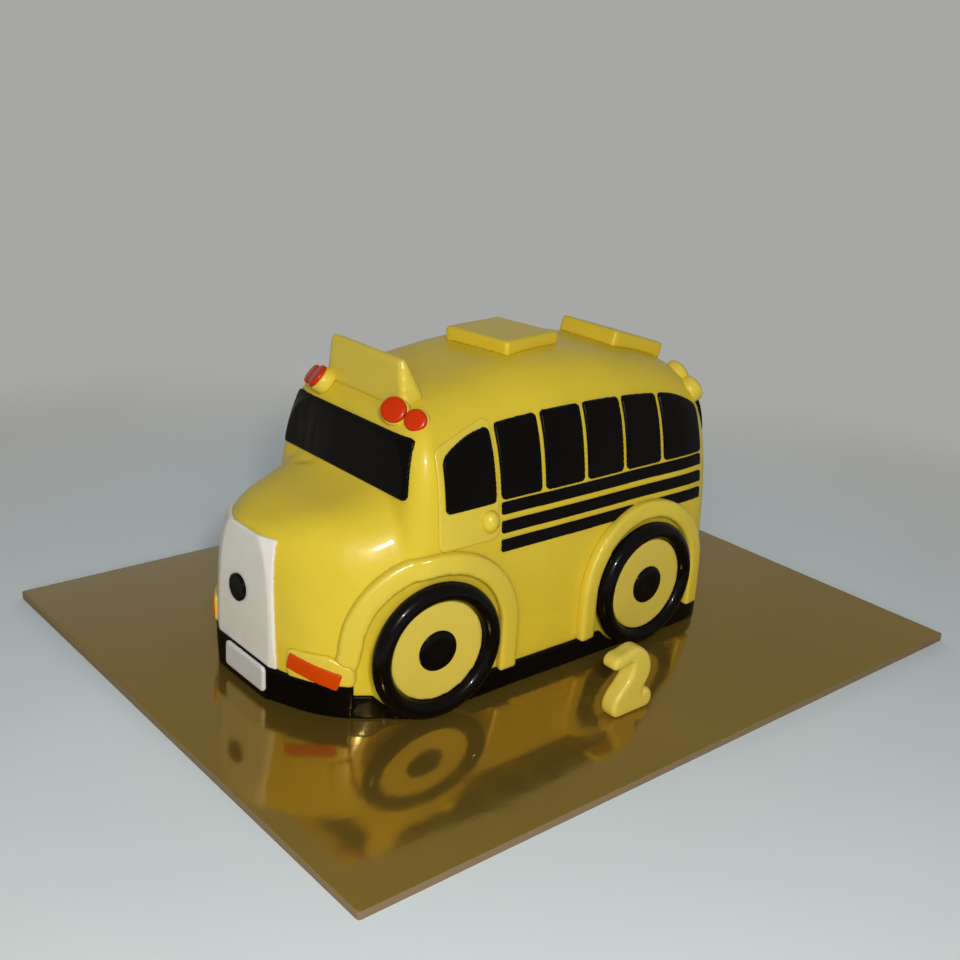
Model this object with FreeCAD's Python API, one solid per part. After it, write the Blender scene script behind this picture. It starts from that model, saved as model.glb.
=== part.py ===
import FreeCAD, Part
import math
import os
from FreeCAD import Placement, Rotation, Vector

# A cake in the form of a school bus, covered in rolled sugar paste, on its foil-covered board.
# Origin: centre of the board's underside.  +X is the bus's nose, +Y its left side, +Z up.
# Heights are above the board's top face, where the cake stands.

# Board
board_length = 500.0
board_width = 400.0
board_thickness = 5.0
board_corner_radius = 2.0

# Cabin: a loaf with an arched roof, rolled ends and a raked front
body_half_width = 80.0
cabin_height = 195.0
roof_arc_radius = 350.0
cabin_front_x = 127.0
cabin_rear_x = -134.0
front_edge_roll = 15.0
rear_edge_roll = 26.0
top_roll_share = 0.8
front_rake_deg = 8.0
rake_start_x = 40.0
rake_foot_height = 129.0
cabin_squareness = 4.0
cabin_front_squareness = 9.0
front_square_power = 6.0
cabin_lean_share = 0.035

# Hood: narrows in plan to a rounded nose, and rises in a cowl where it meets the cabin
hood_start_x = 95.0
plan_start_x = 60.0
nose_cap_x = 184.6
nose_tip_x = 186.0
nose_plan_power = 3.1
nose_round_power = 3.2
nose_bend_x = 110.0
nose_bend_power = 1.6
nose_tip_y = -13.0
hood_height = 122.0
hood_drop = 20.0
hood_drop_start_x = 112.0
hood_drop_power = 2.4
cowl_length = 23.0
cowl_rise = 7.0
hood_inset = 4.0
hood_squareness = 4.8
nose_squareness = 3.3
hood_lean_share = 0.03
foot_tuck = 4.8
foot_tuck_start_x = 130.0
foot_tuck_height_share = 0.4
nose_roll = 5.0
tuck_power = 1.5
hood_station_shares = (0.0, 0.1, 0.2, 0.3, 0.4, 0.5, 0.6, 0.7, 0.79, 0.87, 0.94, 1.0)

# Way out of the bus's left side
outwards = Vector(0, 1, 0)

# Points on each section, and sections along the cabin
profile_steps = 24
roll_steps = 4
cabin_spans = 5
lean_power = 1.5

# Paste pieces laid on the body, and the reach of the shapes that cut them out
window_thickness = 1.8
stripe_thickness = 1.5
door_thickness = 1.0
grille_thickness = 2.0
base_strip_thickness = 2.6
front_strip_thickness = 3.4
arch_thickness = 6.0
overrun = 30.0
touch = 0.001

# Windows: their heads follow one arch, which turns down at both ends
window_sill_height = 122.5
window_head_crown = 169.0
window_head_radius = 680.0
window_pitch = 35.2
window_width = 31.0
first_window_x = 50.5
passenger_windows = 5
window_corner_radius = 2.5
cab_window_front_x = 109.0
cab_window_rear_x = 72.0
last_window_end_x = -112.0
end_window_drop = 12.5
end_window_rise = 2.6
end_window_corner_radius = 8.0
windscreen_foot_half_width = 63.5
windscreen_head_half_width = 58.5
windscreen_sill_height = 129.5
windscreen_head_height = 163.0
windscreen_corner_radius = 3.0
rear_window_half_width = 60.0
rear_window_sill_height = 128.0
rear_window_head_height = 160.0

# Stripes
stripe_height = 7.2
stripe_pitch = 11.4
top_stripe_height = 120.5
stripe_front_x = 66.0
stripe_rear_x = -112.0
stripes = 3

# Doors
door_front_x = 113.0
door_rear_x = 69.0
door_foot_height = 100.0
door_head_margin = 5.0
door_corner_radius = 4.0
knob_radius = 5.6
knob_stretch_share = 1.25
knob_x = 77.0
knob_height = 112.0
knob_sink = 1.6

# Wheels: a rope of paste round a thick disc, with a button for a hub
wheel_radius = 42.8
tyre_rope_diameter = 11.4
tyre_seat_clearance = 0.8
disc_clearance = 0.1
front_wheel_x = 116.5
front_flank_set_back = 10.0
front_wheel_turn_deg = 6.0
front_disc_proud = 0.0
rear_wheel_x = -56.5
rear_disc_proud = 2.0
hub_radius = 12.8
hub_rim = 1.2
hub_dome = 1.0

# Arches over the wheels
arch_shift = 2.0
front_arch_inner_radius = 45.5
front_arch_band = 11.5
front_arch_turn_deg = 18.0
front_arch_flare = 8.0
rear_arch_inner_radius = 45.2
rear_arch_band = 10.5

# Base strips
front_strip_height = 21.5
side_strip_height = 14.5
strip_seam_x = 158.0
wheel_gap = 1.0

# Nose: grille panel, badge button and number plate
grille_centre_y = -16.5
grille_foot_half_width = 37.5
grille_head_half_width = 31.5
grille_head_height = 100.0
badge_radius = 8.5
badge_thickness = 2.5
badge_y = -17.0
badge_height = 60.5
plate_width = 43.5
plate_height = 15.6
plate_thickness = 2.2
plate_corner_radius = 2.5
plate_y = -6.0
plate_foot_height = 5.8

# Headlamps, each on the lower part of a thick pad
pad_thickness = 4.8
pad_inner_reach = 17.0
pad_knee_reach = 9.0
pad_outer_reach = 24.0
pad_height = 17.5
pad_end_height = 11.0
pad_corner_radius = 3.0
headlamp_thickness = 2.2
headlamp_length = 33.5
headlamp_height = 10.4
headlamp_corner_radius = 1.2
headlamp_x = 177.4
headlamp_y = 47.0
headlamp_height_above = 28.3
headlamp_turn_deg = 36.0
headlamp_droop_deg = 14.0

# Roof sign: a wedge with a blank face
sign_base_length = 80.0
sign_top_length = 69.0
sign_base_depth = 20.0
sign_top_depth = 2.0
sign_foot_height = 165.0
sign_head_height = 201.5
sign_front_x = 112.5

# Roof hatches
hatch_length = 50.0
hatch_width = 52.0
hatch_thickness = 22.0
hatch_corner_radius = 2.0
front_hatch_x = 7.5
front_hatch_top = 202.0
front_hatch_turn_deg = 8.0
rear_hatch_x = -94.8
rear_hatch_top = 191.5
rear_hatch_tilt_deg = 16.0

# Warning lamps: a large and a small disc side by side on a thick backing
big_lamp_radius = 7.6
lamp_gap = 0.2
small_lamp_radius = 6.7
lamp_thickness = 2.0
backing_thickness = 3.0
backing_margin = 1.0
backing_depth = 16.0
front_left_lamp = (121.7, 39.9, 176.3)
front_left_facing_shares = (0.72, 0.50, 0.48)
front_left_along_shares = (-0.425, 0.866, -0.265)
front_right_lamp = (123.0, -39.6, 178.0)
front_right_facing_shares = (0.68, -0.38, 0.62)
front_right_along_shares = (-0.425, -0.866, -0.265)
rear_lamp = (-124.7, 42.6, 169.9)
rear_facing_shares = (-0.82, 0.22, 0.50)
rear_along_shares = (0.06, 0.84, -0.54)

# Numeral standing on the board beside the bus
numeral_thickness = 12.0
numeral_width = 33.0
numeral_height = 44.0
numeral_edge = 1.5
numeral_x = 31.0
numeral_y = 143.6
numeral_outline_shares = (
    (0.88, 0.0), (0.985, 0.125), (0.91, 0.27), (0.79, 0.29), (0.70, 0.255), (0.74, 0.35),
    (0.84, 0.47), (0.866, 0.68), (0.70, 0.90), (0.485, 0.99), (0.18, 0.955), (-0.08, 0.90),
    (-0.12, 0.78), (0.12, 0.755), (0.35, 0.77), (0.38, 0.67), (0.32, 0.545), (0.10, 0.365),
    (-0.03, 0.205), (-0.02, 0.07), (0.06, 0.0))


def section(x, centre_y, half_width, height, squareness, lean_share, rake_share, tuck):
    """A squared-off arch on a flat base, leaning in as it rises and tucked in at its foot."""
    points = []
    for step in range(profile_steps + 1):
        angle = math.pi * step / profile_steps
        across = math.cos(angle)
        up = 0.0 if step in (0, profile_steps) else math.sin(angle)
        reach_out = (abs(across) ** squareness + abs(up) ** squareness) ** (-1 / squareness)
        rise = reach_out * up
        tuck_here = tuck * max(0.0, 1 - rise / foot_tuck_height_share) ** 2
        width = half_width * (1 - lean_share * rise ** lean_power) - tuck_here
        z = height * rise
        points.append(Vector(x - rake_share * (z - rake_foot_height),
                             centre_y + width * reach_out * across, board_thickness + z))
    arch = Part.BSplineCurve()
    arch.interpolate(points)
    base = Part.LineSegment(points[-1], points[0])
    return Part.Wire([arch.toShape(), base.toShape()])


def beyond(x, start_x, end_x):
    """How far x lies on the way from start_x to end_x, as a share, and zero before it."""
    return max(0.0, (x - start_x) / (end_x - start_x))


def plan_half_width(x):
    share = beyond(x, plan_start_x, nose_tip_x)
    return body_half_width * (1 - share ** nose_plan_power) ** (1 / nose_round_power)


def crown(x):
    return cabin_height - roof_arc_radius + math.sqrt(roof_arc_radius ** 2 - x ** 2)


def nose_centre(x):
    return nose_tip_y * beyond(x, nose_bend_x, nose_tip_x) ** nose_bend_power


def hood_top(x):
    drop = hood_drop * beyond(x, hood_drop_start_x, nose_tip_x) ** hood_drop_power
    cowl = cowl_rise * beyond(x, cabin_front_x + cowl_length, cabin_front_x) ** 2
    return hood_height - drop + cowl


def cabin(grow=0.0):
    """The cabin, or the same form standing out by grow all over."""
    stations = []
    for step in range(roll_steps + 1):
        angle = math.pi / 2 * step / roll_steps
        stations.append((cabin_rear_x + rear_edge_roll * (1 - math.cos(angle)),
                         rear_edge_roll * (1 - math.sin(angle))))
    straight_rear = cabin_rear_x + rear_edge_roll
    straight_front = cabin_front_x - front_edge_roll
    for step in range(1, cabin_spans):
        stations.append((straight_rear + (straight_front - straight_rear) * step / cabin_spans, 0.0))
    for step in range(roll_steps, -1, -1):
        angle = math.pi / 2 * step / roll_steps
        stations.append((cabin_front_x - front_edge_roll * (1 - math.cos(angle)),
                         front_edge_roll * (1 - math.sin(angle))))
    full_rake = math.tan(math.radians(front_rake_deg))
    wires = []
    for along, inset in stations:
        share = beyond(along, rake_start_x, cabin_front_x)
        push = grow * ((along == cabin_front_x) - (along == cabin_rear_x))
        squareness = (cabin_squareness
                      + (cabin_front_squareness - cabin_squareness) * share ** front_square_power)
        wires.append(section(along + push, 0.0, plan_half_width(along) - inset + grow,
                             crown(along) - inset * top_roll_share + grow, squareness,
                             cabin_lean_share, full_rake * share ** 2, 0.0))
    return Part.makeLoft(wires, True, False)


def hood(grow=0.0):
    """The hood and nose, from inside the cabin to the flat end behind the grille."""
    wires = []
    for station_share in hood_station_shares:
        along = hood_start_x + station_share * (nose_cap_x - hood_start_x)
        inset = hood_inset * beyond(along, cabin_front_x, hood_start_x) ** 2
        push = grow if station_share == hood_station_shares[-1] else 0.0
        squareness = (hood_squareness + (nose_squareness - hood_squareness)
                      * beyond(along, hood_start_x, nose_tip_x) ** 2)
        wires.append(section(along + push, nose_centre(along), plan_half_width(along) - inset + grow,
                             hood_top(along) + grow, squareness, hood_lean_share, 0.0,
                             foot_tuck * beyond(along, foot_tuck_start_x, nose_tip_x) ** tuck_power))
    form = Part.makeLoft(wires, True, False)
    rims = [edge for edge in form.Edges if edge.CenterOfMass.x > nose_cap_x + grow - touch
            and edge.CenterOfMass.z > board_thickness + touch]
    return form.makeFillet(nose_roll + grow, rims)


def body(grow=0.0):
    return cabin(grow).fuse(hood(grow))


def mirrored(shape):
    return shape.mirror(Vector(0, 0, 0), Vector(0, 1, 0))


def save(shape, name):
    if shape.ShapeType == "Compound" and len(shape.Solids) == 1:
        shape = shape.Solids[0]
    print(name, "solids", len(shape.Solids), "valid", shape.isValid(), "volume", round(shape.Volume))
    shape.exportStep(os.path.join("parts", name + ".step"))


def save_pair(left, name):
    save(left, name + "_left")
    save(mirrored(left), name + "_right")


def laid_on_both_sides(left_prism, outer, under, name, middle_y=0.0):
    """Cuts the prism's outline from the grown form on each side, down to what lies under it."""
    right_prism = mirrored(left_prism)
    right_prism.translate(outwards * 2 * middle_y)
    for prism, side in ((left_prism, "left"), (right_prism, "right")):
        piece = outer.common(prism)
        for shape in under:
            piece = piece.cut(shape)
        save(piece, name + "_" + side)


def rounded(prism, way, corners):
    """Rounds the edges of a prism that run along way through the given points."""
    for spot, radius in corners:
        edges = [edge for edge in prism.Edges if len(edge.Vertexes) == 2
                 and all((vertex.Point - spot).cross(way).Length < touch for vertex in edge.Vertexes)]
        prism = prism.makeFillet(radius, edges)
    return prism


def outline_prism(points, way, depth, radius):
    """Pushes a flat polygon along way and rounds all its corners."""
    prism = Part.Face(Part.makePolygon(points + points[:1])).extrude(way * depth)
    return rounded(prism, way, [(point, radius) for point in points])


def ahead_prism(foot_half_width, head_half_width, centre_y, foot, head, radius, from_x, depth):
    """An outline seen from in front, level at foot and head, pushed along X by depth."""
    foot_z = board_thickness + foot
    head_z = board_thickness + head
    points = [Vector(from_x, centre_y - foot_half_width, foot_z),
              Vector(from_x, centre_y + foot_half_width, foot_z),
              Vector(from_x, centre_y + head_half_width, head_z),
              Vector(from_x, centre_y - head_half_width, head_z)]
    return outline_prism(points, Vector(1, 0, 0), depth, radius)


os.makedirs("parts", exist_ok=True)

# Board
board = Part.makeBox(board_length, board_width, board_thickness,
                     Vector(-board_length / 2, -board_width / 2, 0))
corners = [(Vector(side_x * board_length / 2, side_y * board_width / 2, 0), board_corner_radius)
           for side_x in (-1, 1) for side_y in (-1, 1)]
save(rounded(board, Vector(0, 0, 1), corners), "cake_board")

# Covered body
bare = body()
save(bare, "covered_body")

# Window outlines, seen from the side
side_depth = body_half_width + overrun
sill_z = board_thickness + window_sill_height


def head_z(x):
    """Height of the arch that the window heads follow."""
    return (board_thickness + window_head_crown - window_head_radius
            + math.sqrt(window_head_radius ** 2 - x ** 2))


def window_prism(rear_x, front_x, rear_head, front_head, rise, radii):
    """A window's outline: level sill, upright sides and an arched head."""
    rear_foot = Vector(rear_x, 0, sill_z)
    front_foot = Vector(front_x, 0, sill_z)
    front_top = Vector(front_x, 0, front_head)
    rear_top = Vector(rear_x, 0, rear_head)
    middle = (front_top + rear_top) / 2 + Vector(0, 0, rise)
    wire = Part.Wire([Part.LineSegment(rear_foot, front_foot).toShape(),
                      Part.LineSegment(front_foot, front_top).toShape(),
                      Part.Arc(front_top, middle, rear_top).toShape(),
                      Part.LineSegment(rear_top, rear_foot).toShape()])
    prism = Part.Face(wire).extrude(outwards * side_depth)
    return rounded(prism, outwards, zip((rear_foot, front_foot, front_top, rear_top), radii))


small = window_corner_radius
large = end_window_corner_radius

# Doors: a thin panel each side, with the cab window laid on it
door_outer = cabin(door_thickness)
door_head = head_z(door_rear_x) + door_head_margin
door_points = [Vector(door_rear_x, 0, board_thickness + door_foot_height),
               Vector(door_front_x, 0, board_thickness + door_foot_height),
               Vector(door_front_x, 0, door_head - end_window_drop), Vector(door_rear_x, 0, door_head)]
door_prism = outline_prism(door_points, outwards, side_depth, door_corner_radius)
save_pair(door_outer.common(door_prism).cut(bare), "door_panel")

cab_head = head_z(cab_window_rear_x)
cab_prism = window_prism(cab_window_rear_x, cab_window_front_x, cab_head,
                         cab_head - end_window_drop, end_window_rise, (small, small, large, small))
cab_window = cabin(door_thickness + window_thickness).common(cab_prism).cut(door_outer)
save_pair(cab_window, "cab_window")

# Passenger windows
window_outer = cabin(window_thickness)
windows = []
for number in range(passenger_windows):
    centre_x = first_window_x - number * window_pitch
    front_x = centre_x + window_width / 2
    rear_x = centre_x - window_width / 2
    if number == passenger_windows - 1:
        front_head = head_z(front_x)
        prism = window_prism(last_window_end_x, front_x, front_head - end_window_drop, front_head,
                             end_window_rise, (small, small, small, large))
    else:
        rise = head_z(centre_x) - (head_z(front_x) + head_z(rear_x)) / 2
        prism = window_prism(rear_x, front_x, head_z(rear_x), head_z(front_x), rise,
                             (small, small, small, small))
    windows += window_outer.common(prism).cut(bare).Solids
save_pair(Part.makeCompound(windows), "side_windows")

# Windscreen and rear window
windscreen_prism = ahead_prism(windscreen_foot_half_width, windscreen_head_half_width, 0.0,
                               windscreen_sill_height, windscreen_head_height,
                               windscreen_corner_radius, plan_start_x, nose_tip_x - plan_start_x)
save(window_outer.common(windscreen_prism).cut(bare), "windscreen")
rear_prism = ahead_prism(rear_window_half_width, rear_window_half_width, 0.0,
                         rear_window_sill_height, rear_window_head_height,
                         windscreen_corner_radius, cabin_rear_x - overrun, overrun * 2)
rear_window = window_outer.common(rear_prism).cut(bare)
save(rear_window, "rear_window")


def horseshoe(wheel_x, wheel_y, inner_radius, band, flare, turn_deg):
    """Prism of an arch seen from the side: half a ring on two legs, the front one flared."""
    foot_z = side_strip_height - wheel_radius
    faces = []
    for radius in (inner_radius + band, inner_radius):
        rear = Vector(-radius, 0, 0)
        front = Vector(radius, 0, 0)
        rear_foot = Vector(-radius, 0, foot_z)
        front_foot = Vector(radius + flare, 0, foot_z)
        faces.append(Part.Face(Part.Wire([
            Part.Arc(rear, Vector(0, 0, radius), front).toShape(),
            Part.LineSegment(front, front_foot).toShape(),
            Part.LineSegment(front_foot, rear_foot).toShape(),
            Part.LineSegment(rear_foot, rear).toShape()])))
    prism = faces[0].cut(faces[1]).Faces[0].extrude(outwards * (body_half_width + overrun))
    prism.translate(-outwards * body_half_width / 2)
    prism.Placement = Placement(Vector(wheel_x, wheel_y, board_thickness + wheel_radius),
                                Rotation(Vector(0, 0, 1), -turn_deg)).multiply(prism.Placement)
    return prism


front_flank = plan_half_width(front_wheel_x - front_flank_set_back)
front_wheel_y = front_flank + tyre_rope_diameter / 2 + tyre_seat_clearance
rear_wheel_y = body_half_width + tyre_rope_diameter / 2 + tyre_seat_clearance
front_shoe = horseshoe(front_wheel_x - arch_shift, front_wheel_y, front_arch_inner_radius,
                       front_arch_band, front_arch_flare, front_arch_turn_deg)
rear_shoe = horseshoe(rear_wheel_x - arch_shift, rear_wheel_y, rear_arch_inner_radius,
                      rear_arch_band, 0.0, 0.0)

# Stripes, stopped at the rear arch
stripe_outer = cabin(stripe_thickness)
stripe_solids = []
for number in range(stripes):
    head = board_thickness + top_stripe_height - number * stripe_pitch
    foot = head - stripe_height
    points = [Vector(stripe_rear_x, 0, foot), Vector(stripe_front_x, 0, foot),
              Vector(stripe_front_x, 0, head), Vector(stripe_rear_x, 0, head)]
    prism = outline_prism(points, outwards, side_depth, stripe_thickness / 2)
    stripe_solids += stripe_outer.common(prism).cut(bare).cut(rear_shoe).Solids
save_pair(Part.makeCompound(stripe_solids), "side_stripes")


def wheel(centre_x, centre_y, turn_deg, disc_proud, end):
    """One wheel and its mirror image: rope tyre, disc and hub, on an axis turned about Z."""
    turn = Rotation(Vector(0, 0, 1), -turn_deg)
    place = Placement(Vector(centre_x, centre_y, board_thickness + wheel_radius), turn)
    rope_radius = tyre_rope_diameter / 2
    tyre = Part.makeTorus(wheel_radius - rope_radius, rope_radius, Vector(0, 0, 0), outwards)
    inward = body_half_width / 2
    disc = Part.makeCylinder(wheel_radius - tyre_rope_diameter - disc_clearance, inward + disc_proud,
                             Vector(0, -inward, 0), outwards)
    cap_radius = (hub_radius ** 2 + hub_dome ** 2) / (2 * hub_dome)
    hub_top = disc_proud + hub_rim + hub_dome
    ball = Part.makeSphere(cap_radius, Vector(0, hub_top - cap_radius, 0))
    hub = Part.makeCylinder(hub_radius, hub_rim + hub_dome, Vector(0, disc_proud, 0), outwards)
    hub = hub.common(ball)
    for shape in (tyre, disc, hub):
        shape.Placement = place
    save_pair(tyre, end + "_tyre")
    tyres.append(mirrored(tyre))
    save(disc.cut(bare), end + "_wheel_disc_left")
    save(mirrored(disc).cut(bare), end + "_wheel_disc_right")
    save_pair(hub, end + "_hub")


tyres = []
wheel(front_wheel_x, front_wheel_y, front_wheel_turn_deg, front_disc_proud, "front")
wheel(rear_wheel_x, rear_wheel_y, 0.0, rear_disc_proud, "rear")

# Base strips round the foot of the cake: one across the nose, the others stopped at the wheels
front_strip_outer = hood(front_strip_thickness)
front_slab = Part.makeBox(nose_tip_x + overrun - strip_seam_x, board_width, front_strip_height,
                          Vector(strip_seam_x, -board_width / 2, board_thickness))
front_strip = front_strip_outer.common(front_slab).cut(bare)
save(front_strip, "base_strip_front")
side_slab = Part.makeBox(strip_seam_x + board_length / 2, board_width, side_strip_height,
                         Vector(-board_length / 2, -board_width / 2, board_thickness))
band = body(base_strip_thickness).common(side_slab).cut(bare)
for wheel_x, wheel_y, turn_deg in ((front_wheel_x, front_wheel_y, front_wheel_turn_deg),
                                   (rear_wheel_x, rear_wheel_y, 0.0)):
    gap = Part.makeCylinder(wheel_radius + wheel_gap, body_half_width, Vector(0, -body_half_width / 2, 0),
                            outwards)
    gap.Placement = Placement(Vector(wheel_x, wheel_y, board_thickness + wheel_radius),
                              Rotation(Vector(0, 0, 1), -turn_deg))
    band = band.cut(gap).cut(mirrored(gap))
strips = {"base_strip_left": [], "base_strip_right": [], "base_strip_rear": []}
for solid in band.Solids:
    spot = solid.CenterOfMass
    if spot.x < rear_wheel_x:
        strips["base_strip_rear"].append(solid)
    elif spot.y > 0:
        strips["base_strip_left"].append(solid)
    else:
        strips["base_strip_right"].append(solid)
for name, solids in strips.items():
    save(Part.makeCompound(solids), name)

# Nose: grille panel, badge button and number plate
nose_depth = nose_tip_x + overrun - cabin_front_x
grille_outer = hood(grille_thickness)
grille_prism = ahead_prism(grille_foot_half_width, grille_head_half_width, grille_centre_y,
                           front_strip_height, grille_head_height, grille_thickness / 2,
                           cabin_front_x, nose_depth)
grille = grille_outer.common(grille_prism).cut(bare)
save(grille, "grille_panel")

badge_outer = hood(grille_thickness + badge_thickness)
badge_prism = Part.makeCylinder(badge_radius, nose_depth,
                                Vector(cabin_front_x, badge_y, board_thickness + badge_height),
                                Vector(1, 0, 0))
save(badge_outer.common(badge_prism).cut(grille_outer), "nose_badge")

plate_outer = hood(front_strip_thickness + plate_thickness)
plate_prism = ahead_prism(plate_width / 2, plate_width / 2, plate_y, plate_foot_height,
                          plate_foot_height + plate_height, plate_corner_radius,
                          cabin_front_x, nose_depth)
save(plate_outer.common(plate_prism).cut(front_strip_outer), "number_plate")

# Headlamps on the corners of the nose: the pads stand on the strip and fall off outwards
corner_turn = Rotation(Vector(0, 0, 1), headlamp_turn_deg)
corner_way = corner_turn.multVec(Vector(1, 0, 0))
corner_along = corner_turn.multVec(Vector(0, 1, 0))
lamp_centre = Vector(headlamp_x, headlamp_y, board_thickness + headlamp_height_above)
lamp_droop = Rotation(corner_way, -headlamp_droop_deg)
lamp_along = lamp_droop.multVec(corner_along) * headlamp_length / 2
lamp_up = lamp_droop.multVec(Vector(0, 0, 1)) * headlamp_height / 2
lamp_start = lamp_centre - corner_way * overrun / 2
lamp_points = [lamp_start - lamp_along - lamp_up, lamp_start + lamp_along - lamp_up,
               lamp_start + lamp_along + lamp_up, lamp_start - lamp_along + lamp_up]
lamp_prism = outline_prism(lamp_points, corner_way, overrun, headlamp_corner_radius)


def pad_point(reach, height):
    """A point of the pad's outline, at a reach outwards from the lamp's middle."""
    foot = Vector(lamp_start.x, lamp_start.y, board_thickness + front_strip_height)
    return foot + corner_along * reach + Vector(0, 0, height)


pad_points = [pad_point(-pad_inner_reach, 0), pad_point(pad_outer_reach, 0),
              pad_point(pad_outer_reach, pad_end_height), pad_point(pad_knee_reach, pad_height),
              pad_point(-pad_inner_reach, pad_height)]
pad_prism = outline_prism(pad_points, corner_way, overrun, pad_corner_radius)
stop_points = [pad_point(-overrun, -front_strip_height), pad_point(overrun, -front_strip_height),
               pad_point(overrun, pad_end_height), pad_points[2], pad_points[3],
               pad_point(-overrun, pad_height)]
arch_stop = Part.Face(Part.makePolygon(stop_points + stop_points[:1])).extrude(corner_way * overrun)
nose_middle = nose_centre(headlamp_x)
pad_outer = hood(pad_thickness)
lamp_outer = hood(pad_thickness + headlamp_thickness)
laid_on_both_sides(pad_prism, pad_outer, [bare, grille] + tyres, "headlamp_pad", nose_middle)
laid_on_both_sides(lamp_prism, lamp_outer, [pad_outer], "headlamp", nose_middle)

# Arches, each front one stopped along the top of its headlamp's pad
arch_outer = body(arch_thickness)
far_stop = mirrored(arch_stop)
far_stop.translate(outwards * 2 * nose_middle)
laid_on_both_sides(front_shoe, arch_outer, [bare, arch_stop, far_stop], "front_arch")
laid_on_both_sides(rear_shoe, arch_outer, [bare], "rear_arch")


def level_rectangle(length, depth, height):
    """A rectangle behind the sign's face, at a height above the board."""
    corners = [Vector(sign_front_x, -length / 2, height), Vector(sign_front_x, length / 2, height),
               Vector(sign_front_x - depth, length / 2, height),
               Vector(sign_front_x - depth, -length / 2, height)]
    return Part.makePolygon(corners + corners[:1])


# Roof sign
sign = Part.makeLoft([level_rectangle(sign_base_length, sign_base_depth,
                                      board_thickness + sign_foot_height),
                      level_rectangle(sign_top_length, sign_top_depth,
                                      board_thickness + sign_head_height)], True, True)
sign = sign.cut(bare)
save(sign, "roof_sign")


def hatch(centre_x, top, turn_deg, tilt_deg):
    """A slab with soft edges, let down onto the arched roof."""
    slab = Part.makeBox(hatch_length, hatch_width, hatch_thickness,
                        Vector(-hatch_length / 2, -hatch_width / 2, -hatch_thickness))
    edges = [edge for edge in slab.Edges if edge.CenterOfMass.z > -hatch_thickness + touch]
    slab = slab.makeFillet(hatch_corner_radius, edges)
    turn = Rotation(Vector(0, 1, 0), -tilt_deg).multiply(Rotation(Vector(0, 0, 1), turn_deg))
    slab.Placement = Placement(Vector(centre_x, 0, board_thickness + top), turn)
    return slab.cut(bare)


save(hatch(front_hatch_x, front_hatch_top, front_hatch_turn_deg, 0.0), "roof_hatch_front")
save(hatch(rear_hatch_x, rear_hatch_top, 0.0, rear_hatch_tilt_deg), "roof_hatch_rear")


def warning_lamps(spot, facing_shares, along_shares, name_start, name_end):
    """Two discs on their backing at a corner of the roof; spot is the large disc's centre."""
    way = Vector(*facing_shares).normalize()
    beside = way.cross(Vector(*along_shares)).cross(way).normalize()
    beside = beside * (big_lamp_radius + small_lamp_radius + lamp_gap)
    face = Vector(*spot) + Vector(0, 0, board_thickness)
    back = face - way * (lamp_thickness + backing_thickness + backing_depth)
    posts = []
    discs = []
    for start, radius in ((back, big_lamp_radius), (back + beside, small_lamp_radius)):
        post = Part.makeCylinder(radius + backing_margin, backing_depth + backing_thickness, start, way)
        posts.append(post)
        disc = Part.makeCylinder(radius, lamp_thickness,
                                 start + way * (backing_depth + backing_thickness), way)
        discs.append(disc.cut(bare).cut(sign))
    backing = posts[0].fuse(posts[1]).cut(bare).cut(sign).cut(rear_window)
    save(backing, name_start + "_lamp_backing_" + name_end)
    save(Part.makeCompound(discs), name_start + "_warning_lamps_" + name_end)


def other_side(place):
    return (place[0], -place[1], place[2])


warning_lamps(front_left_lamp, front_left_facing_shares, front_left_along_shares, "front", "left")
warning_lamps(front_right_lamp, front_right_facing_shares, front_right_along_shares, "front", "right")
warning_lamps(rear_lamp, rear_facing_shares, rear_along_shares, "rear", "left")
warning_lamps(other_side(rear_lamp), other_side(rear_facing_shares), other_side(rear_along_shares),
              "rear", "right")

# Door knobs
stretch = FreeCAD.Matrix()
stretch.scale(Vector(1, 1, knob_stretch_share))
knob = Part.makeSphere(knob_radius).transformGeometry(stretch)
knob.translate(Vector(knob_x, plan_half_width(knob_x) - knob_sink, board_thickness + knob_height))
save_pair(knob.cut(door_outer), "door_knob")

# Numeral: a thick figure standing on its flat foot, its edges worked down
outline_points = [Vector(numeral_x - across * numeral_width, numeral_y - numeral_thickness / 2,
                         board_thickness + up * numeral_height)
                  for across, up in numeral_outline_shares]
curve = Part.BSplineCurve()
curve.interpolate(outline_points)
foot = Part.LineSegment(outline_points[-1], outline_points[0])
numeral = Part.Face(Part.Wire([curve.toShape(), foot.toShape()])).extrude(outwards * numeral_thickness)
rims = [edge for edge in numeral.Edges
        if abs(abs(edge.CenterOfMass.y - numeral_y) - numeral_thickness / 2) < touch]
save(numeral.makeChamfer(numeral_edge, rims), "numeral_two")
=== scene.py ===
import math

import bmesh
import bpy
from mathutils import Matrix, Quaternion, Vector


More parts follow.
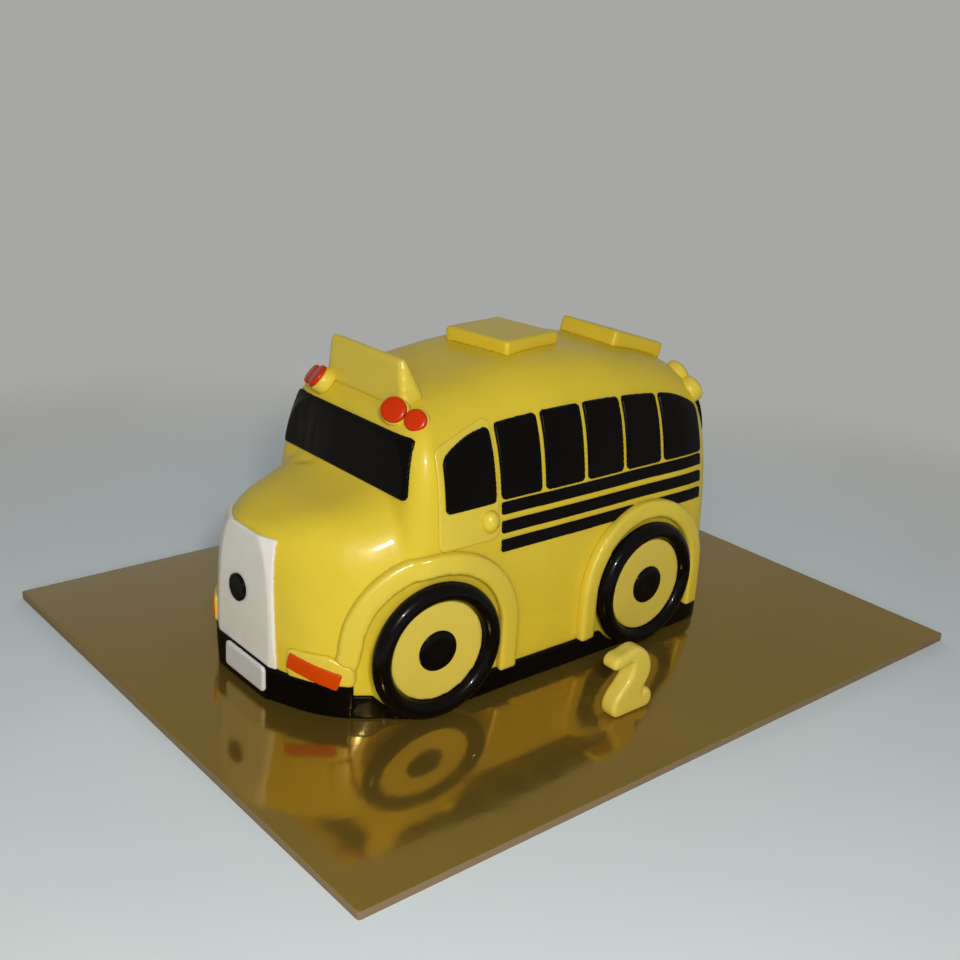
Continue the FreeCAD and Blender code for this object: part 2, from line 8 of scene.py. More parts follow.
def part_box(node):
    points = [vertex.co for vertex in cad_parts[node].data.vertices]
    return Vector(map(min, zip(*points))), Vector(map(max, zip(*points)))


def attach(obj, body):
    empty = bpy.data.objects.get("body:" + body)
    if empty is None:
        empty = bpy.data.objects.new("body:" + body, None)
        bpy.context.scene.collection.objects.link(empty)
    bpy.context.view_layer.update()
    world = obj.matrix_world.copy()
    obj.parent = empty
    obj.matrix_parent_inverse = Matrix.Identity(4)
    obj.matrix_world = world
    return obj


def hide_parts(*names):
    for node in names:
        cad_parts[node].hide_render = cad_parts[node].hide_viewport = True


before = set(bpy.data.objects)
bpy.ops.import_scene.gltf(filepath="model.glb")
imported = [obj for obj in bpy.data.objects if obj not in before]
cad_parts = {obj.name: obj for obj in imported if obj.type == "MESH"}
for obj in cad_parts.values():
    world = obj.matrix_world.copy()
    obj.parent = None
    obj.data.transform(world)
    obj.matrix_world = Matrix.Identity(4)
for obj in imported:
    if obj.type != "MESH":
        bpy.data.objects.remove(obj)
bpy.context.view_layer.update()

# The camera: it stands ahead of the bus and to its left, a little over the roof, and looks down.
camera_place = Vector((0.5218, 0.5704, 0.3835))
camera_heading = math.radians(-131.469)
camera_pitch = math.radians(19.991)
camera_roll = math.radians(3.877)
camera_lens_mm = 46.28
sensor_mm = 36.0
nearest_seen = 0.01

forward = Vector((math.cos(camera_heading) * math.cos(camera_pitch),
                  math.sin(camera_heading) * math.cos(camera_pitch), -math.sin(camera_pitch)))
camera_data = bpy.data.cameras.new("camera")
camera_data.lens = camera_lens_mm
camera_data.sensor_width = sensor_mm
camera_data.clip_start = nearest_seen
camera = bpy.data.objects.new("camera", camera_data)
camera.rotation_mode = "QUATERNION"
camera.location = camera_place
camera.rotation_quaternion = (Quaternion(forward, -camera_roll)
                              @ forward.to_track_quat("-Z", "Y"))
bpy.context.scene.collection.objects.link(camera)
bpy.context.scene.camera = camera

# The lamps: a broad soft one at the camera's side, a small one by the lens, a low one from behind,
# and a spark that lights nothing and shows only as sharp highlights on the steamed paste.
bus_middle = Vector((0.02, 0.0, 0.09))
warm_white = (1.0, 0.98, 0.95)
soft_place = Vector((0.97, 1.14, 0.57))
near_place = camera_place + Vector((-0.04, 0.05, 0.09))
fill_place = Vector((-0.80, -0.95, 0.28))
spark_place = camera_place + Vector((-0.05, 0.03, 0.07))


def lamp(name, place, width, watts, lights=True, mirrored=True):
    """A round lamp that faces the bus; it may be kept from lighting it or from being mirrored."""
    data = bpy.data.lights.new(name, "AREA")
    data.shape = "DISK"
    data.size = width
    data.energy = watts
    data.color = warm_white
    obj = bpy.data.objects.new(name, data)
    obj.rotation_mode = "QUATERNION"
    obj.location = place
    obj.rotation_quaternion = (bus_middle - place).to_track_quat("-Z", "Y")
    obj.visible_diffuse = lights
    obj.visible_glossy = mirrored
    bpy.context.scene.collection.objects.link(obj)


lamp("soft_lamp", soft_place, width=0.9, watts=9.2, mirrored=False)
lamp("near_lamp", near_place, width=0.06, watts=2.35, mirrored=False)
lamp("fill_lamp", fill_place, width=0.9, watts=4.5, mirrored=False)
lamp("spark_lamp", spark_place, width=0.03, watts=6.0, lights=False)

# The surroundings: a weak even light from all sides.  The camera, and whatever mirrors, sees a plain
# pale wall in its place.
ambient_white = (1.0, 1.0, 1.0)
ambient_strength = 0.19
wall_tone = (0.385, 0.39, 0.38)


def step(tree, kind, links, **settings):
    """Adds a node, sets what it is told and links or fills its inputs; gives its outputs."""
    node = tree.nodes.new(kind)
    for key, value in settings.items():
        setattr(node, key, value)
    for key, source in links.items():
        if isinstance(source, bpy.types.NodeSocket):
            tree.links.new(source, node.inputs[key])
        else:
            node.inputs[key].default_value = source
    return node.outputs


def maths(tree, operation, *values):
    """The result of one sum on sockets or plain numbers."""
    return step(tree, "ShaderNodeMath", dict(enumerate(values)), operation=operation)[0]


def looked_at(tree):
    """1 where the camera looks, straight or by way of a gloss, and 0 for what only lights."""
    path = step(tree, "ShaderNodeLightPath", {})
    return maths(tree, "MAXIMUM", path["Is Camera Ray"], path["Is Glossy Ray"])


def opaque(colour):
    """A colour as a socket takes it, with nothing showing through."""
    return (*colour, 1.0)


world = bpy.data.worlds.new("surroundings")
bpy.context.scene.world = world
world.use_nodes = True
sky = world.node_tree
sky.nodes.clear()
ambient = step(sky, "ShaderNodeBackground", {"Color": opaque(ambient_white),
                                             "Strength": ambient_strength})[0]
wall = step(sky, "ShaderNodeBackground", {"Color": opaque(wall_tone), "Strength": 1.0})[0]
blend = step(sky, "ShaderNodeMixShader", {0: looked_at(sky), 1: ambient, 2: wall})[0]
step(sky, "ShaderNodeOutputWorld", {"Surface": blend})
bpy.context.scene.view_settings.view_transform = "Standard"

# The table top: plain pale laminate, faintly mottled, that passes into the tone of the wall far from
# the board.  It only carries the board, so it is the stage.
table_near = (0.78, 0.87, 0.90)
table_far = (0.84, 0.86, 0.82)
table_beyond = (0.0, 0.0, 0.0)
table_mottle = 0.97
table_roughness = 0.5
table_span = 30.0
near_reach = 0.34
far_reach = 0.56
beyond_reach = 0.72


def finish_tree(name):
    """A new material, with its tree, its Principled shader and its Object coordinates."""
    material = bpy.data.materials.new(name)
    material.use_nodes = True
    tree = material.node_tree
    place = step(tree, "ShaderNodeTexCoord", {})["Object"]
    return material, tree, tree.nodes["Principled BSDF"], place


def noise(tree, place, scale, detail=2.0, stretch=None, distortion=0.0):
    """A noise over the places; a smaller stretch along an axis draws it out along that axis."""
    if stretch:
        place = step(tree, "ShaderNodeMapping", {"Vector": place, "Scale": stretch})["Vector"]
    return step(tree, "ShaderNodeTexNoise", {"Vector": place, "Scale": scale, "Detail": detail,
                                             "Distortion": distortion})["Fac"]


def ranged(tree, value, low, high, to_low=0.0, to_high=1.0):
    """Carries a value from one range over to another, and holds it at the ends."""
    return step(tree, "ShaderNodeMapRange", {"Value": value, 1: low, 2: high, 3: to_low,
                                             4: to_high})["Result"]


def spread(tree, cloud, to_low=0.0, to_high=1.0):
    """Draws the middle part of a noise, where most of it lies, out over a whole range."""
    return ranged(tree, cloud, low=0.3, high=0.7, to_low=to_low, to_high=to_high)


def mixed(tree, share, first, second):
    """Mixes two colours, each of them plain or a socket, by a share of the second."""
    ends = [colour if isinstance(colour, bpy.types.NodeSocket) else opaque(colour)
            for colour in (first, second)]
    return step(tree, "ShaderNodeMix", {"Factor": share, 6: ends[0], 7: ends[1]},
                data_type="RGBA")[2]


def scaled(colour, share):
    """A colour made darker or lighter by a share."""
    return tuple(part * share for part in colour)


table_material, tree, shader, place = finish_tree("pale_laminate")
away = step(tree, "ShaderNodeVectorMath", {0: place}, operation="LENGTH")["Value"]
far_share = ranged(tree, away, near_reach, far_reach)
beyond_share = ranged(tree, away, far_reach, beyond_reach)
mottle = spread(tree, noise(tree, place, scale=6.0, detail=3.0))
near_tone = mixed(tree, mottle, scaled(table_near, table_mottle), table_near)
far_tone = mixed(tree, beyond_share, table_far, table_beyond)
tree.links.new(mixed(tree, far_share, near_tone, far_tone), shader.inputs["Base Color"])
wall_share = maths(tree, "MULTIPLY", looked_at(tree), beyond_share)
tree.links.new(wall_share, shader.inputs["Emission Strength"])
shader.inputs["Emission Color"].default_value = opaque(wall_tone)
shader.inputs["Roughness"].default_value = table_roughness
shader.inputs["Specular IOR Level"].default_value = 0.0
bpy.ops.mesh.primitive_plane_add(size=table_span)
table = bpy.context.object
table.name = "table_top"
table.data.materials.append(table_material)

# The cake board: stiff card with a gold foil glued over its top, guillotined square, so its brown
# core shows at the cut edges.  The foil is faintly wrinkled, and the rims are softened a little.
foil_tint = (0.30, 0.193, 0.032)
foil_clouding = 1.12
foil_metallic = 0.68
foil_gloss = (0.07, 0.14)
card_tint = (0.22, 0.15, 0.075)
card_roughness = 0.8
card_top = 0.0042
foil_foot = 0.0046
rim_width = 0.0004
rim_segments = 3
same_point = 1e-6


def merged_copy(node, name):
    """A copy of a node's mesh with its loose triangles joined up, as a new object."""
    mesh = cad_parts[node].data.copy()
    mesh.materials.clear()
    build = bmesh.new()
    build.from_mesh(mesh)
    bmesh.ops.remove_doubles(build, verts=build.verts, dist=same_point)
    build.to_mesh(mesh)
    build.free()
    obj = bpy.data.objects.new(name, mesh)
    bpy.context.scene.collection.objects.link(obj)
    return obj


def applied(obj):
    """Turns the modifiers' result into the object's own plain mesh."""
    done = bpy.data.meshes.new_from_object(
        obj.evaluated_get(bpy.context.evaluated_depsgraph_get()))
    obj.modifiers.clear()
    obj.data = done
    return obj


def placed(obj, material, node):
    """Gives a piece its finish, its body and its slot, and hides the node that it stands for."""
    obj.data.materials.clear()
    obj.data.materials.append(material)
    obj.data.polygons.foreach_set("use_smooth", [True] * len(obj.data.polygons))
    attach(obj, "root")
    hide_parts(node)


def bumped(tree, height, distance, strength, under=None):
    """Raises a surface by a height's share of the distance, over another bump if there is one."""
    links = {"Height": height, "Distance": distance, "Strength": strength}
    if under:
        links["Normal"] = under
    return step(tree, "ShaderNodeBump", links)["Normal"]


board_material, tree, shader, place = finish_tree("gold_foil_on_card")
height = step(tree, "ShaderNodeSeparateXYZ", {0: place})["Z"]
foil_share = ranged(tree, height, card_top, foil_foot)
clouding = spread(tree, noise(tree, place, scale=9.0, detail=4.0))
foil_colour = mixed(tree, clouding, foil_tint, scaled(foil_tint, foil_clouding))
tree.links.new(mixed(tree, foil_share, card_tint, foil_colour), shader.inputs["Base Color"])
metal_share = maths(tree, "MULTIPLY", foil_share, foil_metallic)
tree.links.new(metal_share, shader.inputs["Metallic"])
streaks = noise(tree, place, scale=60.0, detail=3.0, stretch=(1.0, 0.06, 1.0), distortion=0.4)
roughness = step(tree, "ShaderNodeMix", {0: foil_share, 2: card_roughness,
                                         3: spread(tree, streaks, *foil_gloss)})[0]
tree.links.new(roughness, shader.inputs["Roughness"])
waves = noise(tree, place, scale=14.0, stretch=(1.0, 0.5, 1.0))
swell = bumped(tree, waves, distance=0.004, strength=0.07)
creases = noise(tree, place, scale=70.0, detail=3.0, stretch=(0.5, 1.0, 1.0), distortion=0.6)
wrinkle = bumped(tree, creases, distance=0.0006, strength=0.14, under=swell)
tree.links.new(wrinkle, shader.inputs["Normal"])

board = merged_copy("cake_board", "foil_board")
rim = board.modifiers.new("rim", "BEVEL")
rim.width = rim_width
rim.segments = rim_segments
rim.limit_method = "ANGLE"
placed(applied(board), board_material, "cake_board")

# The cover: one sheet of yellow sugar paste, rolled out, laid over the carved cake and smoothed down
# by hand, so the hood runs into the cabin in a soft hollow.  It is steamed to a soft gloss.
yellow = (0.75, 0.57, 0.038)
speck_share = 0.93
coat_roughness = 0.07
smoothing = 0.5
hollow_along = (0.098, 0.108, 0.116, 0.126)
hollow_up = (0.085, 0.105, 0.128, 0.134)
hollow_rounds = 36


def softened(node, name, voxel, rounds, keep=1.0, swell=0.0):
    """A node's form with its cut edges rounded, as soft paste settles."""
    obj = merged_copy(node, name)
    even = obj.modifiers.new("even", "REMESH")
    even.mode = "VOXEL"
    even.voxel_size = voxel
    if swell:
        plump = obj.modifiers.new("plump", "DISPLACE")
        plump.strength = swell
        plump.mid_level = 0.0
    smooth = obj.modifiers.new("smooth", "SMOOTH")
    smooth.factor = smoothing
    smooth.iterations = rounds
    if keep < 1.0:
        thin = obj.modifiers.new("thin", "DECIMATE")
        thin.ratio = keep
    return applied(obj)


def paste(name, colour, shade, gloss, coat, level, grain=0.06):
    """Sugar paste: a steamed gloss over fine grain, shallow dimples and slightly uneven colour."""
    material, tree, shader, place = finish_tree(name)
    patches = spread(tree, noise(tree, place, scale=22.0, detail=3.0))
    grains = noise(tree, place, scale=420.0)
    specks = ranged(tree, grains, low=0.62, high=0.74, to_high=0.35)
    kneaded = mixed(tree, patches, scaled(colour, shade), colour)
    specked = mixed(tree, specks, kneaded, scaled(colour, shade * speck_share))
    tree.links.new(specked, shader.inputs["Base Color"])
    wiped = noise(tree, place, scale=55.0, detail=4.0, distortion=0.5)
    tree.links.new(spread(tree, wiped, *gloss), shader.inputs["Roughness"])
    shader.inputs["Specular IOR Level"].default_value = level
    shader.inputs["Coat Weight"].default_value = coat
    shader.inputs["Coat Roughness"].default_value = coat_roughness
    lumps = noise(tree, place, scale=75.0)
    dimples = bumped(tree, lumps, distance=0.0012, strength=0.24)
    holes = noise(tree, place, scale=260.0, detail=3.0)
    pores = bumped(tree, holes, distance=0.0005, strength=0.13, under=dimples)
    sugar = noise(tree, place, scale=900.0)
    fine = bumped(tree, sugar, distance=0.0001, strength=grain, under=pores)
    tree.links.new(fine, shader.inputs["Normal"])
    return material


cover_material = paste("yellow_cover_paste", yellow, shade=0.93, gloss=(0.28, 0.42), coat=0.2,
                       level=0.13)
cover = softened("covered_body", "yellow_cover", voxel=0.0022, rounds=6)


def held(value, low, high):
    """The share of the way from low to high, kept between 0 and 1."""
    return min(1.0, max(0.0, (value - low) / (high - low)))


def within(value, begins, full, fades, ends):
    """1 from full to fades, and 0 before it begins and after it ends."""
    return held(value, begins, full) * held(-value, -ends, -fades)


hollow = cover.vertex_groups.new(name="hollow")
for vertex in cover.data.vertices:
    share = within(vertex.co.x, *hollow_along) * within(vertex.co.z, *hollow_up)
    if share > 0.0:
        hollow.add([vertex.index], share, "REPLACE")
thumbed = cover.modifiers.new("thumbed", "SMOOTH")
thumbed.factor = smoothing
thumbed.iterations = hollow_rounds
thumbed.vertex_group = "hollow"
cover = applied(cover)

# The lines that a finger left in the cover, each from one point to another, with its depth and width.
finger_lines = (((0.135, -0.047, 0.1265), (0.128, -0.024, 0.1315), 0.0011, 0.0028),
                ((0.062, 0.080, 0.0500), (-0.012, 0.080, 0.0375), 0.0003, 0.0022),
                ((0.172, 0.030, 0.0960), (0.160, 0.052, 0.0900), 0.0005, 0.0030),
                ((0.171, 0.036, 0.0850), (0.150, 0.060, 0.0780), 0.0004, 0.0028))
widths_reached = 3
for start, end, depth, width in finger_lines:
    start = Vector(start)
    run = Vector(end) - start
    for vertex in cover.data.vertices:
        share = held((vertex.co - start).dot(run), 0.0, run.length_squared)
        off = (vertex.co - start - run * share).length
        if off < width * widths_reached:
            fade = 4 * share * (1 - share)
            vertex.co -= vertex.normal * (depth * fade * math.exp(-(off / width) ** 2))
placed(cover, cover_material, "covered_body")

# The windscreen and the rear window: black paste rolled thin, cut to shape with a knife and stuck on
# with edible glue.  One end of the windscreen has a painted sheen, a lighter haze in its colour.
black = (0.0030, 0.0019, 0.0012)
black_finish = {"shade": 0.7, "gloss": (0.20, 0.32), "coat": 0.06, "level": 0.05, "grain": 0.04}
# Painted sheen: the lighter tone that the windscreen's black turns towards at one end.
painted_sheen_tone = (0.018, 0.014, 0.011)
painted_sheen_place = (-0.118, 0.036, -0.148)
painted_sheen_stretch = (30.0, 34.0, 30.0)

black_material = paste("black_paste", black, **black_finish)
painted_sheen_material = paste("black_paste_with_painted_sheen", black, **black_finish)
tree = painted_sheen_material.node_tree
shader = tree.nodes["Principled BSDF"]
place = tree.nodes["Texture Coordinate"].outputs["Object"]
# The painted sheen: the black turns lighter in streaks towards one end of the windscreen.
painted_sheen_middle = [along * by for along, by in zip(painted_sheen_place, painted_sheen_stretch)]
centred = step(tree, "ShaderNodeMapping", {"Vector": place, "Location": painted_sheen_middle,
                                           "Scale": painted_sheen_stretch})["Vector"]
reach = step(tree, "ShaderNodeVectorMath", {0: centred}, operation="LENGTH")["Value"]
near_painted_sheen = ranged(tree, reach, low=0.2, high=1.0, to_low=1.0, to_high=0.0)
painted_sheen_streaks = noise(tree, place, scale=160.0, detail=4.0, stretch=(1.0, 1.0, 0.3))
painted_sheen_streaking = ranged(tree, painted_sheen_streaks, low=0.35, high=0.7, to_low=0.1)
painted_sheen_share = maths(tree, "MULTIPLY", near_painted_sheen, painted_sheen_streaking)
plain_black = shader.inputs["Base Color"].links[0].from_socket
tree.links.new(mixed(tree, painted_sheen_share, plain_black, painted_sheen_tone), shader.inputs["Base Color"])
for node, material in (("windscreen", painted_sheen_material), ("rear_window", black_material)):
    piece = softened(node, node + "_paste", voxel=0.00048, rounds=12, keep=0.3, swell=0.0006)
    placed(piece, material, node)

# The side windows and the windows of the cab doors: cut from the same black sheet, a row of five
# each side with a thin gap between them, pressed on while soft so that they follow the cover.
for node in ("side_windows_left", "side_windows_right", "cab_window_left", "cab_window_right"):
    piece = softened(node, node + "_paste", voxel=0.0006, rounds=4, keep=0.3, swell=0.0003)
    placed(piece, black_material, node)

# The stripes: three narrow strips of the black sheet along each side, cut with a ruler and a wheel
# cutter, the lowest one ending at the rear arch.
for node in ("side_stripes_left", "side_stripes_right"):
    piece = softened(node, node + "_paste", voxel=0.00055, rounds=4, keep=0.3, swell=0.0003)
    placed(piece, black_material, node)

# The doors: a thin panel of yellow paste over the front of each side, with square shoulders and
# softly cut edges.
piece_yellow = (0.76, 0.59, 0.055)
piece_material = paste("yellow_piece_paste", piece_yellow, shade=0.94, gloss=(0.26, 0.38),
                       coat=0.15, level=0.32)
for node in ("door_panel_left", "door_panel_right"):
    piece = softened(node, node + "_paste", voxel=0.0005, rounds=3, keep=0.35, swell=0.0002)
    placed(piece, piece_material, node)

# The door knobs: an oval bead of yellow paste for each door, rolled between the fingers and pressed
# on to its panel.
for node in ("door_knob_left", "door_knob_right"):
    piece = softened(node, node + "_paste", voxel=0.0006, rounds=3, keep=0.4)
    placed(piece, piece_material, node)

# The arches over the wheels: a thick yellow band cut in a horseshoe and laid round each wheel, its
# edges smoothed down with a finger until they are round.
for node in ("front_arch_left", "front_arch_right", "rear_arch_left", "rear_arch_right"):
    piece = softened(node, node + "_paste", voxel=0.001, rounds=10, keep=0.4, swell=0.0007)
    placed(piece, piece_material, node)

# The tyres: a rope of black paste rolled by hand, bent round the disc and joined end to end.  Each is
# a tube along a circle that sways a little, as hand rolling leaves it.
rope_turns = 60
rope_sides = 12
rope_sway = 0.0008
noise_middle = (0.5, 0.5, 0.5)
tyre_low, tyre_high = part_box("rear_tyre_left")
rope_radius = (tyre_high.y - tyre_low.y) / 2
ring_radius = (tyre_high.z - tyre_low.z) / 2 - rope_radius
front_turn = math.radians(6.0)
wheel_turns = {"front_left": -front_turn, "front_right": front_turn,
               "rear_left": 0.0, "rear_right": 0.0}


def form_tree(name, **sizes):
    """A Geometry Nodes tree with a named input for each size and one for the material."""
    tree = bpy.data.node_groups.new(name, "GeometryNodeTree")
    kinds = {float: "NodeSocketFloat", Vector: "NodeSocketVector"}
    for label, value in sizes.items():
        socket = tree.interface.new_socket(label, in_out="INPUT", socket_type=kinds[type(value)])
        socket.default_value = value
    tree.interface.new_socket("material", in_out="INPUT", socket_type="NodeSocketMaterial")
    tree.interface.new_socket("form", in_out="OUTPUT", socket_type="NodeSocketGeometry")
    return tree, tree.nodes.new("NodeGroupInput").outputs


def closed_form(tree, sizes, geometry, rotation):
    """Ends a tree: the form goes to its place, is made real and gets its material."""
    moved = step(tree, "GeometryNodeTransform", {"Geometry": geometry, "Rotation": rotation,
                                                 "Translation": sizes["middle"]})[0]
    real = step(tree, "GeometryNodeRealizeInstances", {"Geometry": moved})[0]
    made = step(tree, "GeometryNodeSetMaterial", {"Geometry": real,
                                                  "Material": sizes["material"]})[0]
    step(tree, "NodeGroupOutput", {"form": made})


def grown(tree, name, **values):
    """A new object with the plain mesh that the tree makes of these values and its own."""
    obj = bpy.data.objects.new(name, bpy.data.meshes.new(name))
    bpy.context.scene.collection.objects.link(obj)
    form = obj.modifiers.new("form", "NODES")
    form.node_group = tree
    for item in tree.interface.items_tree:
        if item.in_out == "INPUT":
            form[item.identifier] = values.get(item.name, item.default_value)
    return applied(obj)


rope_tree, sizes = form_tree("rope_round_a_wheel", ring_radius=ring_radius,
                             rope_radius=rope_radius, sway=rope_sway, turn=0.0, middle=Vector())
ring = step(rope_tree, "GeometryNodeCurvePrimitiveCircle",
            {"Resolution": rope_turns, "Radius": sizes["ring_radius"]})[0]
spot = step(rope_tree, "GeometryNodeInputPosition", {})[0]
rolled = step(rope_tree, "ShaderNodeTexNoise", {"Vector": spot, "Scale": 22.0, "Detail": 1.0})
evened = step(rope_tree, "ShaderNodeVectorMath", {0: rolled["Color"], 1: noise_middle},
              operation="SUBTRACT")[0]
swayed = step(rope_tree, "ShaderNodeVectorMath", {0: evened, "Scale": sizes["sway"]},
              operation="SCALE")[0]
ring = step(rope_tree, "GeometryNodeSetPosition", {"Geometry": ring, "Offset": swayed})[0]
round_face = step(rope_tree, "GeometryNodeCurvePrimitiveCircle",
                  {"Resolution": rope_sides, "Radius": sizes["rope_radius"]})[0]
rope = step(rope_tree, "GeometryNodeCurveToMesh", {"Curve": ring, "Profile Curve": round_face})[0]
upright = step(rope_tree, "ShaderNodeCombineXYZ", {0: math.pi / 2, 2: sizes["turn"]})[0]
closed_form(rope_tree, sizes, rope, upright)

rope_material = paste("black_rope_paste", black, shade=0.7, gloss=(0.20, 0.34), coat=0.13,
                      level=0.06, grain=0.05)
for corner, turn in wheel_turns.items():
    end, side = corner.split("_")
    node = end + "_tyre_" + side
    low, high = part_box(node)
    tyre = grown(rope_tree, node + "_rope", turn=turn, middle=(low + high) / 2,
                 material=rope_material)
    placed(tyre, rope_material, node)

# The wheel discs: a thick round of paler yellow paste cut with a round cutter, its top edge rounded
# by the cutter, set inside each tyre.
disc_yellow = (0.72, 0.57, 0.085)
disc_material = paste("pale_yellow_paste", disc_yellow, shade=0.95, gloss=(0.30, 0.42), coat=0.2,
                      level=0.18)
for corner in wheel_turns:
    end, side = corner.split("_")
    node = end + "_wheel_disc_" + side
    piece = softened(node, node + "_paste", voxel=0.001, rounds=6, keep=0.4)
    placed(piece, disc_material, node)

# The hubs: a ball of black paste pressed flat in the middle of each disc, with the dent of a finger
# in its face.
hub_thickness = 0.0022
hub_flatness = 0.5
hub_dent = 0.0010
hub_dent_width = 0.26
hub_sink = 0.0002
ball_segments = 40
ball_rings = 20
off_zero = 0.001


def pressed_ball_tree():
    """A ball squared off towards a flat button, with a dent in its face, turned to its facing."""
    tree, sizes = form_tree("pressed_ball", radius=0.01, thickness=0.002, flatness=0.5, dent=0.0,
                            dent_width=0.3, facing=Vector((0.0, 1.0, 0.0)), middle=Vector())
    ball = step(tree, "GeometryNodeMeshUVSphere", {"Segments": ball_segments, "Rings": ball_rings,
                                                   "Radius": 1.0})[0]
    spot = step(tree, "GeometryNodeInputPosition", {})[0]
    parts = step(tree, "ShaderNodeSeparateXYZ", {0: spot})
    level = step(tree, "ShaderNodeCombineXYZ", {0: parts["X"], 1: parts["Y"]})[0]
    reach = step(tree, "ShaderNodeVectorMath", {0: level}, operation="LENGTH")["Value"]
    rise = maths(tree, "ABSOLUTE", parts["Z"])
    power = maths(tree, "MULTIPLY", sizes["flatness"], -1.0)
    squaring = maths(tree, "POWER", maths(tree, "MAXIMUM", reach, off_zero), power)
    lifting = maths(tree, "POWER", maths(tree, "MAXIMUM", rise, off_zero), power)
    wide = step(tree, "ShaderNodeVectorMath", {0: level, "Scale": squaring}, operation="SCALE")[0]
    wide = step(tree, "ShaderNodeVectorMath", {0: wide, "Scale": sizes["radius"]},
                operation="SCALE")[0]
    out = maths(tree, "DIVIDE", maths(tree, "MULTIPLY", reach, squaring), sizes["dent_width"])
    bowl = maths(tree, "EXPONENT", maths(tree, "MULTIPLY", maths(tree, "MULTIPLY", out, out), -1.0))
    face = maths(tree, "GREATER_THAN", parts["Z"], 0.0)
    dent = maths(tree, "MULTIPLY", maths(tree, "MULTIPLY", bowl, face), sizes["dent"])
    lifted = maths(tree, "MULTIPLY", parts["Z"], lifting)
    domed = maths(tree, "MULTIPLY", lifted, sizes["thickness"])
    up = step(tree, "ShaderNodeCombineXYZ", {2: maths(tree, "SUBTRACT", domed, dent)})[0]
    whole = step(tree, "ShaderNodeVectorMath", {0: wide, 1: up}, operation="ADD")[0]
    pressed = step(tree, "GeometryNodeSetPosition", {"Geometry": ball, "Position": whole})[0]
    turned = step(tree, "FunctionNodeAlignRotationToVector", {"Vector": sizes["facing"]},
                  axis="Z")[0]
    closed_form(tree, sizes, pressed, turned)
    return tree


ball_tree = pressed_ball_tree()
for corner, turn in wheel_turns.items():
    end, side = corner.split("_")
    node = end + "_hub_" + side
    low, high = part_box(node)
    outward = 1.0 if side == "left" else -1.0
    facing = Vector((math.sin(abs(turn)), outward * math.cos(turn), 0.0))
    middle = (low + high) / 2 - facing * (hub_thickness / 2 + hub_sink)
    hub = grown(ball_tree, node + "_button", radius=(high.z - low.z) / 2, thickness=hub_thickness,
                flatness=hub_flatness, dent=hub_dent, dent_width=hub_dent_width, facing=facing,
                middle=middle, material=rope_material)
    placed(hub, rope_material, node)

# The base strips: strips of the black sheet bent round the foot of the cake to hide its rim, the
# front one thicker and lapped over the ends of the side ones.
for node in ("base_strip_front", "base_strip_left", "base_strip_right", "base_strip_rear"):
    piece = softened(node, node + "_paste", voxel=0.0008, rounds=4, keep=0.3, swell=0.0004)
    placed(piece, black_material, node)

# The grille and the number plate: off-white paste, dull and slightly grainy.  The grille is a tall
# panel bent over the nose, the plate a thicker slab with rounded corners; both are blank.
grille_white = (0.83, 0.80, 0.71)
plate_white = (0.68, 0.685, 0.67)
for node, colour in (("grille_panel", grille_white), ("number_plate", plate_white)):
    material = paste(node + "_paste", colour, shade=0.96, gloss=(0.36, 0.52), coat=0.12,
                     level=0.35, grain=0.12)
    piece = softened(node, node + "_slab", voxel=0.0007, rounds=4, keep=0.3, swell=0.0003)
    placed(piece, material, node)

# The button on the grille: a small disc of the black sheet, plain and round, cut out with a small
# cutter and stuck on.
badge = softened("nose_badge", "nose_badge_paste", voxel=0.0005, rounds=4, keep=0.4)
placed(badge, black_material, "nose_badge")

# The headlamps: a thick yellow pad wrapped round each corner of the nose over the strip, and an
# orange-red slab stuck along its lower part, cut straight and left with crisp ends.
orange = (0.67, 0.062, 0.0)
orange_material = paste("orange_paste", orange, shade=0.88, gloss=(0.22, 0.32), coat=0.1,
                        level=0.16)
for node in ("headlamp_pad_left", "headlamp_pad_right"):
    piece = softened(node, node + "_paste", voxel=0.0008, rounds=7, keep=0.4, swell=0.0005)
    placed(piece, piece_material, node)
for node in ("headlamp_left", "headlamp_right"):
    piece = softened(node, node + "_slab", voxel=0.0006, rounds=4, keep=0.4, swell=0.0003)
    placed(piece, orange_material, node)

# The roof sign: a wedge of yellow paste stood over the windscreen with its broad face forward, blank,
# with edges rounded by hand.
sign = softened("roof_sign", "roof_sign_wedge", voxel=0.0009, rounds=22, keep=0.4, swell=0.0016)
placed(sign, piece_material, "roof_sign")

# The roof hatches: two square slabs of paste cut from a thick sheet, with firm edges, one over the
# front of the roof and one that leans down over the back.
hatch_yellow = (0.76, 0.56, 0.032)
hatch_material = paste("deep_yellow_paste", hatch_yellow, shade=0.93, gloss=(0.28, 0.40), coat=0.2,
                       level=0.18)
for node in ("roof_hatch_front", "roof_hatch_rear"):
    piece = softened(node, node + "_slab", voxel=0.0009, rounds=9, keep=0.4, swell=0.0003)
    placed(piece, hatch_material, node)

# The warning lamps: at each corner of the roof a two-lobed pad of yellow paste carries a large and a
# small button of orange-red paste, pressed on side by side.
lamp_orange = (0.61, 0.030, 0.0)
lamp_flatness = 0.55
lamp_thickness = {"front": 0.0026, "rear": 0.0016}
lobe_flatness = 0.5
lobe_depth = {"front": 0.0048, "rear": 0.0055}
lobe_sunk = {"front": 0.0006, "rear": 0.0012}
lobe_rim = {"front": 0.0009, "rear": 0.0027}
settled = {"front_left": 0.0, "front_right": 0.0014, "rear_left": 0.002, "rear_right": 0.002}
lamp_material = paste("lamp_orange_paste", lamp_orange, shade=0.88, gloss=(0.22, 0.32), coat=0.1,
                      level=0.12)


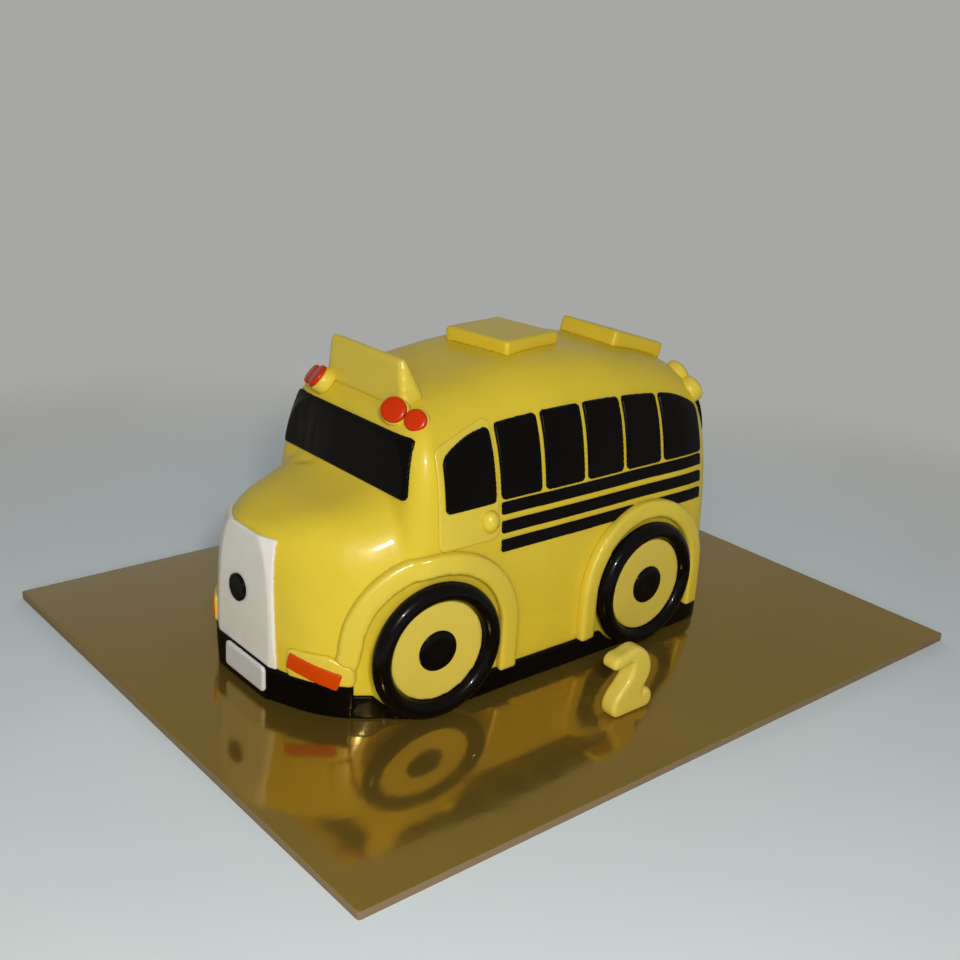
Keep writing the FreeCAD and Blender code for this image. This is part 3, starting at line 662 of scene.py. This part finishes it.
def faces_of_discs(node):
    """The middle, facing and radius of each disc of a node, read off its flat outer face."""
    copy = merged_copy(node, node + "_read")
    build = bmesh.new()
    build.from_mesh(copy.data)
    bpy.data.objects.remove(copy)
    build.faces.ensure_lookup_table()
    known = set()
    discs = []
    for first in build.faces:
        if first.index in known:
            continue
        island = [first]
        known.add(first.index)
        for face in island:
            for edge in face.edges:
                for other in edge.link_faces:
                    if other.index not in known:
                        known.add(other.index)
                        island.append(other)
        flats = {}
        for face in island:
            key = tuple(round(part, 2) for part in face.normal)
            flats.setdefault(key, []).append(face)
        outer = max((group for key, group in flats.items()
                     if Vector(key).dot(island[0].calc_center_median() - bus_middle) > 0),
                    key=lambda group: sum(face.calc_area() for face in group))
        area = sum(face.calc_area() for face in outer)
        middle = sum((face.calc_center_median() * face.calc_area() for face in outer),
                     Vector()) / area
        radius = max((vert.co - middle).length for face in outer for vert in face.verts)
        discs.append((middle, outer[0].normal.copy(), radius))
    build.free()
    return discs


def joined_piece(pieces, name):
    """Several plain meshes as one new object; the pieces themselves are removed."""
    build = bmesh.new()
    for piece in pieces:
        build.from_mesh(piece.data)
        bpy.data.objects.remove(piece)
    mesh = bpy.data.meshes.new(name)
    build.to_mesh(mesh)
    build.free()
    obj = bpy.data.objects.new(name, mesh)
    bpy.context.scene.collection.objects.link(obj)
    return obj


for corner, sunk in settled.items():
    end, side = corner.split("_")
    node = end + "_warning_lamps_" + side
    backing = end + "_lamp_backing_" + side
    buttons = []
    lobes = []
    for middle, facing, radius in faces_of_discs(node):
        seat = middle - facing * (lamp_thickness[end] + sunk)
        buttons.append(grown(ball_tree, node + "_button", radius=radius, flatness=lamp_flatness,
                             thickness=lamp_thickness[end], facing=facing, middle=seat,
                             material=lamp_material))
        lobes.append(grown(ball_tree, node + "_lobe", radius=radius + lobe_rim[end],
                           flatness=lobe_flatness, thickness=lobe_depth[end], facing=facing,
                           middle=seat - facing * (lobe_depth[end] - lobe_sunk[end]),
                           material=piece_material))
    placed(joined_piece(buttons, node + "_buttons"), lamp_material, node)
    placed(joined_piece(lobes, backing + "_lobes"), piece_material, backing)

# The numeral two: a thick figure of yellow paste, rounded all over like a fat rope, that stands on
# the board beside the bus.
numeral = softened("numeral_two", "numeral_two_paste", voxel=0.0009, rounds=14, keep=0.4)
placed(numeral, disc_material, "numeral_two")
